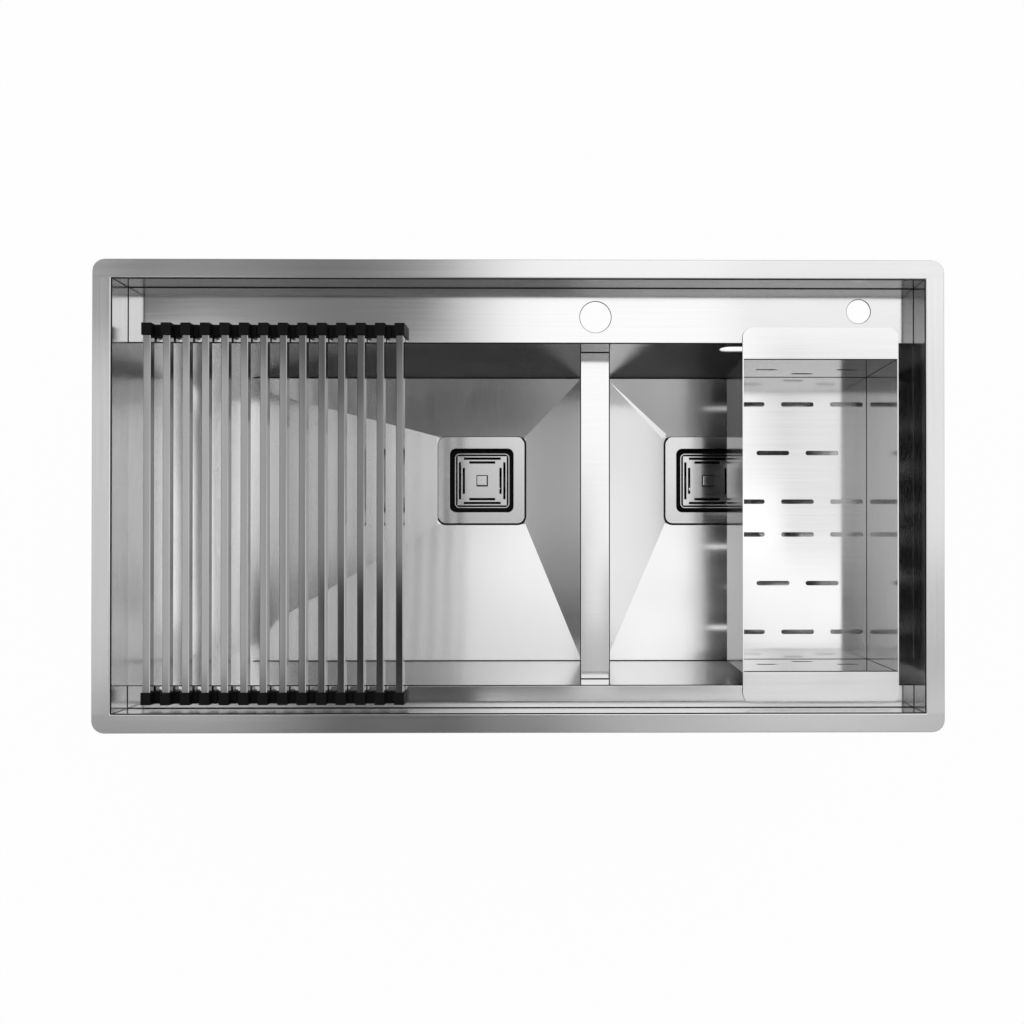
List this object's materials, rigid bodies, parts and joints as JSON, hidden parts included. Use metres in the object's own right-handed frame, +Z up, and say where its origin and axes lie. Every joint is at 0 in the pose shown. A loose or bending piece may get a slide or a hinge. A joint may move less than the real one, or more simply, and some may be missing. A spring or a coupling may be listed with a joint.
{
  "type": "double bowl kitchen sink",
  "caption": "Stainless double-bowl drop-in kitchen sink with sunken ledges that carry a roll-up drying rack and a slotted colander, and square drains.",
  "frame": {"origin": "centre of the rim's underside, the plane that lies on the worktop", "axes": "+X along the length towards the smaller bowl, +Y to the rear, where the tap stands, +Z up"},
  "size_m": [0.9, 0.5, 0.2847],
  "materials": {
    "sink_steel": "brushed",
    "accessory_steel": "brushed",
    "silicone": "matte",
    "gasket": "matte",
    "damping_pad": "matte",
    "drain_plastic": "fine grain",
    "zinc_steel": "zinc plated"
  },
  "bodies": {
    "sink": {"rim_frame": "sink_steel", "front_ledge": "sink_steel", "rear_ledge": "sink_steel", "left_bowl": "sink_steel", "right_bowl": "sink_steel", "divider_bridge": "sink_steel", "left_bowl_pads": "damping_pad", "right_bowl_pads": "damping_pad", "clip_rails": "zinc_steel", "mounting_clips": "zinc_steel", "clip_screws": "zinc_steel", "left_drain_flange": "sink_steel", "left_seat_gasket": "gasket", "left_under_gasket": "gasket", "left_drain_body": "drain_plastic", "left_drain_bolt": "zinc_steel", "right_drain_flange": "sink_steel", "right_seat_gasket": "gasket", "right_under_gasket": "gasket", "right_drain_body": "drain_plastic", "right_drain_bolt": "zinc_steel"},
    "left_strainer": {"left_strainer_basket": "accessory_steel", "left_strainer_seal": "gasket", "left_strainer_knob": "accessory_steel"},
    "right_strainer": {"right_strainer_basket": "accessory_steel", "right_strainer_seal": "gasket", "right_strainer_knob": "accessory_steel"},
    "colander": {"colander": "accessory_steel"},
    "bar_01": {"rack_bar_01": "accessory_steel", "rack_caps_01": "silicone"},
    "bar_02": {"rack_bar_02": "accessory_steel", "rack_caps_02": "silicone"},
    "bar_03": {"rack_bar_03": "accessory_steel", "rack_caps_03": "silicone"},
    "bar_04": {"rack_bar_04": "accessory_steel", "rack_caps_04": "silicone"},
    "bar_05": {"rack_bar_05": "accessory_steel", "rack_caps_05": "silicone"},
    "bar_06": {"rack_bar_06": "accessory_steel", "rack_caps_06": "silicone"},
    "bar_07": {"rack_bar_07": "accessory_steel", "rack_caps_07": "silicone"},
    "bar_08": {"rack_bar_08": "accessory_steel", "rack_caps_08": "silicone"},
    "bar_09": {"rack_bar_09": "accessory_steel", "rack_caps_09": "silicone"},
    "bar_10": {"rack_bar_10": "accessory_steel", "rack_caps_10": "silicone"},
    "bar_11": {"rack_bar_11": "accessory_steel", "rack_caps_11": "silicone"},
    "bar_12": {"rack_bar_12": "accessory_steel", "rack_caps_12": "silicone"},
    "bar_13": {"rack_bar_13": "accessory_steel", "rack_caps_13": "silicone"},
    "bar_14": {"rack_bar_14": "accessory_steel", "rack_caps_14": "silicone"}
  },
  "joints": [
    {"name": "rack_slide", "type": "slide", "parent": "sink", "child": "bar_14", "axis": [1, 0, 0], "range_m": [-0.018, 0.2]},
    {"name": "colander_lift", "type": "slide", "parent": "sink", "child": "colander", "axis": [0, 0, 1], "range_m": [0, 0.15]},
    {"name": "left_strainer_lift", "type": "slide", "parent": "sink", "child": "left_strainer", "axis": [0, 0, 1], "range_m": [0, 0.24]},
    {"name": "right_strainer_lift", "type": "slide", "parent": "sink", "child": "right_strainer", "axis": [0, 0, 1], "range_m": [0, 0.085]},
    {"name": "rack_roll_13", "type": "hinge", "parent": "bar_14", "child": "bar_13", "pos_m": [-0.1423, -0.018, -0.0255], "axis": [0, 1, 0], "range_deg": [0, 24]},
    {"name": "rack_roll_12", "type": "hinge", "parent": "bar_13", "child": "bar_12", "pos_m": [-0.1633, -0.018, -0.0255], "axis": [0, 1, 0], "range_deg": [0, 24.02]},
    {"name": "rack_roll_11", "type": "hinge", "parent": "bar_12", "child": "bar_11", "pos_m": [-0.1843, -0.018, -0.0255], "axis": [0, 1, 0], "range_deg": [0, 24.02]},
    {"name": "rack_roll_10", "type": "hinge", "parent": "bar_11", "child": "bar_10", "pos_m": [-0.2053, -0.018, -0.0255], "axis": [0, 1, 0], "range_deg": [0, 24.02]},
    {"name": "rack_roll_09", "type": "hinge", "parent": "bar_10", "child": "bar_09", "pos_m": [-0.2263, -0.018, -0.0255], "axis": [0, 1, 0], "range_deg": [0, 24.02]},
    {"name": "rack_roll_08", "type": "hinge", "parent": "bar_09", "child": "bar_08", "pos_m": [-0.2473, -0.018, -0.0255], "axis": [0, 1, 0], "range_deg": [0, 24.02]},
    {"name": "rack_roll_07", "type": "hinge", "parent": "bar_08", "child": "bar_07", "pos_m": [-0.2683, -0.018, -0.0255], "axis": [0, 1, 0], "range_deg": [0, 24.02]},
    {"name": "rack_roll_06", "type": "hinge", "parent": "bar_07", "child": "bar_06", "pos_m": [-0.2893, -0.018, -0.0255], "axis": [0, 1, 0], "range_deg": [0, 24.02]},
    {"name": "rack_roll_05", "type": "hinge", "parent": "bar_06", "child": "bar_05", "pos_m": [-0.3103, -0.018, -0.0255], "axis": [0, 1, 0], "range_deg": [0, 24.02]},
    {"name": "rack_roll_04", "type": "hinge", "parent": "bar_05", "child": "bar_04", "pos_m": [-0.3313, -0.018, -0.0255], "axis": [0, 1, 0], "range_deg": [0, 24.02]},
    {"name": "rack_roll_03", "type": "hinge", "parent": "bar_04", "child": "bar_03", "pos_m": [-0.3523, -0.018, -0.0255], "axis": [0, 1, 0], "range_deg": [0, 24.02]},
    {"name": "rack_roll_02", "type": "hinge", "parent": "bar_03", "child": "bar_02", "pos_m": [-0.3733, -0.018, -0.0255], "axis": [0, 1, 0], "range_deg": [0, 24.02]},
    {"name": "rack_roll_01", "type": "hinge", "parent": "bar_02", "child": "bar_01", "pos_m": [-0.3943, -0.018, -0.0255], "axis": [0, 1, 0], "range_deg": [0, 24.02]}
  ],
  "couplings": [
    {"joint": "rack_roll_12", "follows": "rack_roll_13", "ratio": 1},
    {"joint": "rack_roll_11", "follows": "rack_roll_13", "ratio": 1},
    {"joint": "rack_roll_10", "follows": "rack_roll_13", "ratio": 1},
    {"joint": "rack_roll_09", "follows": "rack_roll_13", "ratio": 1},
    {"joint": "rack_roll_08", "follows": "rack_roll_13", "ratio": 1},
    {"joint": "rack_roll_07", "follows": "rack_roll_13", "ratio": 1},
    {"joint": "rack_roll_06", "follows": "rack_roll_13", "ratio": 1},
    {"joint": "rack_roll_05", "follows": "rack_roll_13", "ratio": 1},
    {"joint": "rack_roll_04", "follows": "rack_roll_13", "ratio": 1},
    {"joint": "rack_roll_03", "follows": "rack_roll_13", "ratio": 1},
    {"joint": "rack_roll_02", "follows": "rack_roll_13", "ratio": 1},
    {"joint": "rack_roll_01", "follows": "rack_roll_13", "ratio": 1}
  ]
}
